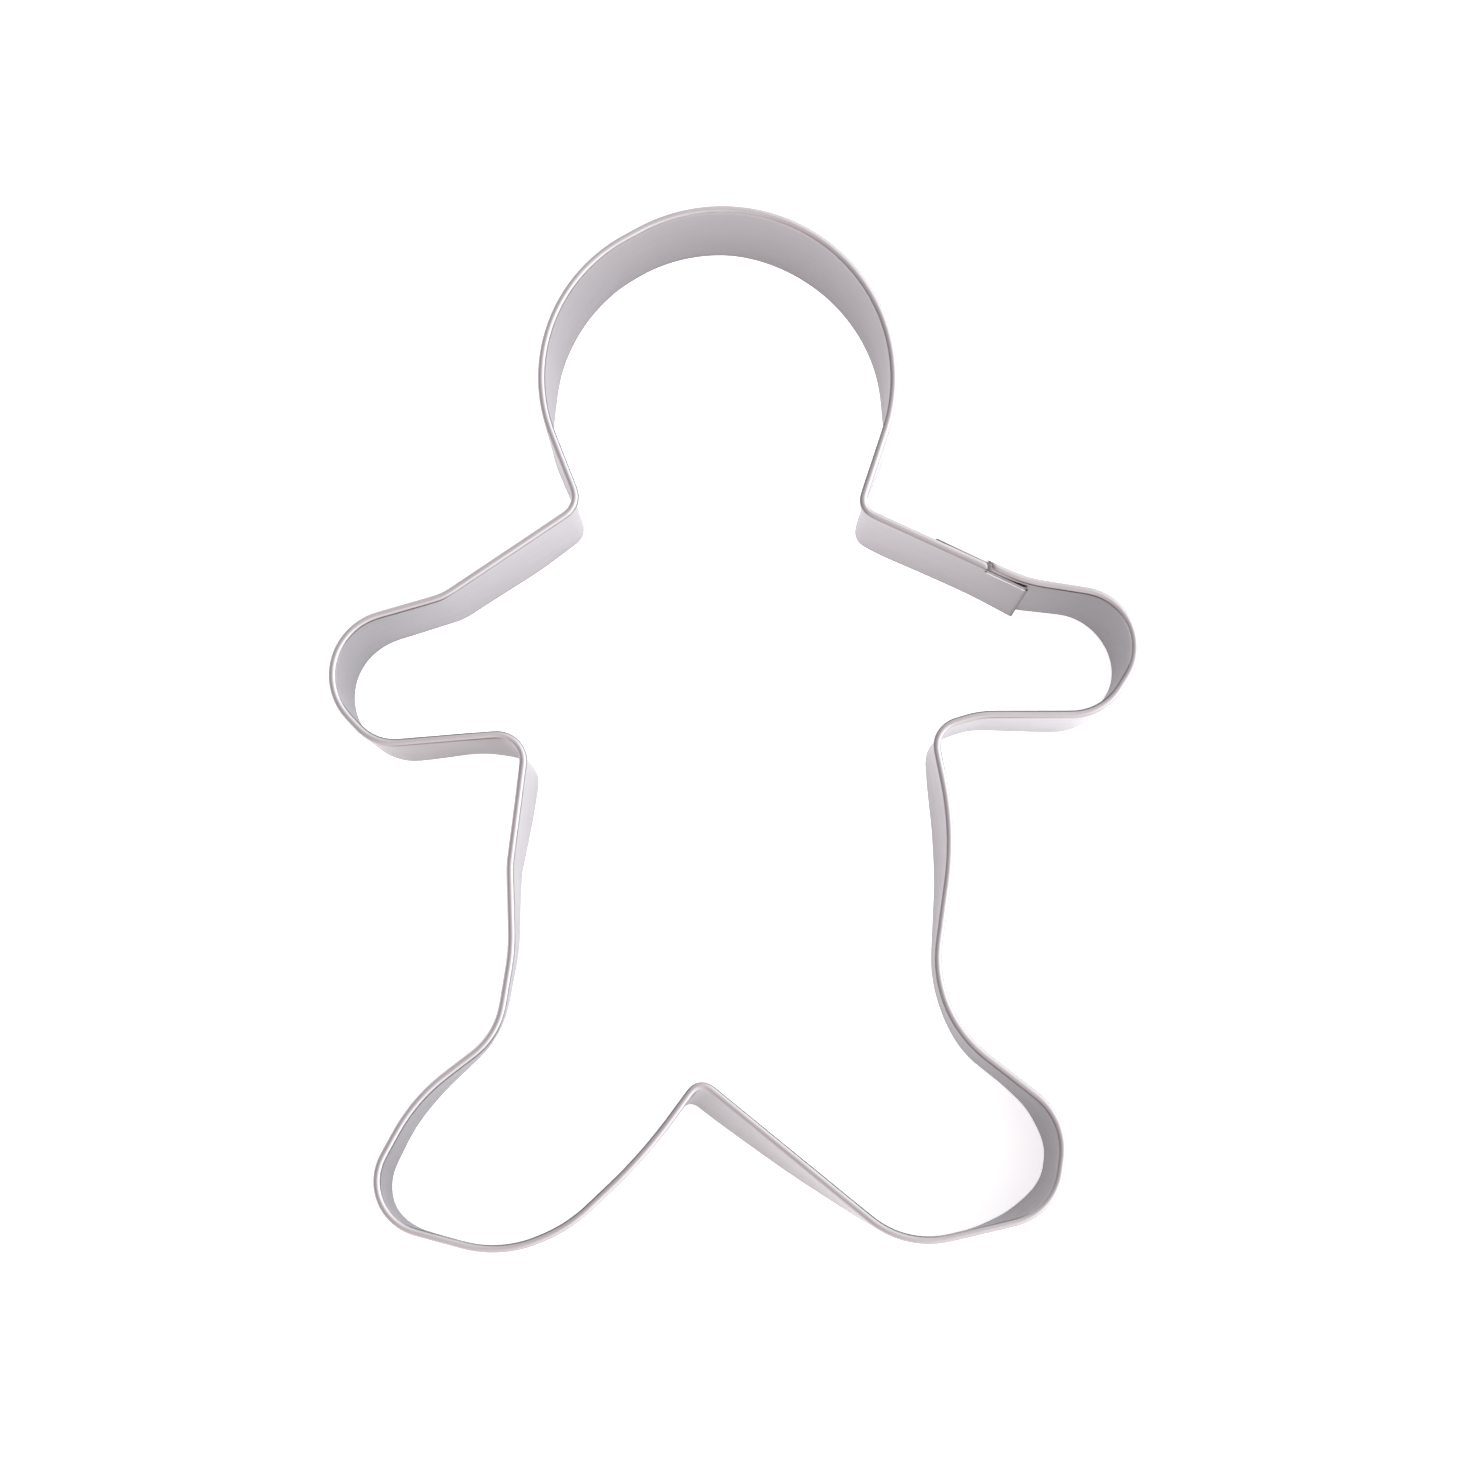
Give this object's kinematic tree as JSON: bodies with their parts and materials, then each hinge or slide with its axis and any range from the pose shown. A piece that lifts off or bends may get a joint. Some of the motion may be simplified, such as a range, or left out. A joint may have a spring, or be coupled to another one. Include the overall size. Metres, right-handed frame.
{
  "type": "cookie cutter",
  "caption": "Gingerbread figure cookie cutter bent from a thin bright steel strip, with a plain cutting edge, a rolled rim and a lapped, spot welded joint on the shoulder.",
  "frame": {"origin": "centre of the bounding box, on the plane of the cutting edge", "axes": "+X to the right as pictured, +Y towards the head, +Z from the cutting edge up to the rolled rim"},
  "size_m": [0.0924, 0.12, 0.022],
  "materials": {
    "bright_strip": "bright rolled, faint lengthwise rolling lines",
    "weld_metal": "dull fused steel"
  },
  "bodies": {
    "root": {"cutter_strip": "bright_strip", "spot_welds": "weld_metal"}
  },
  "joints": []
}
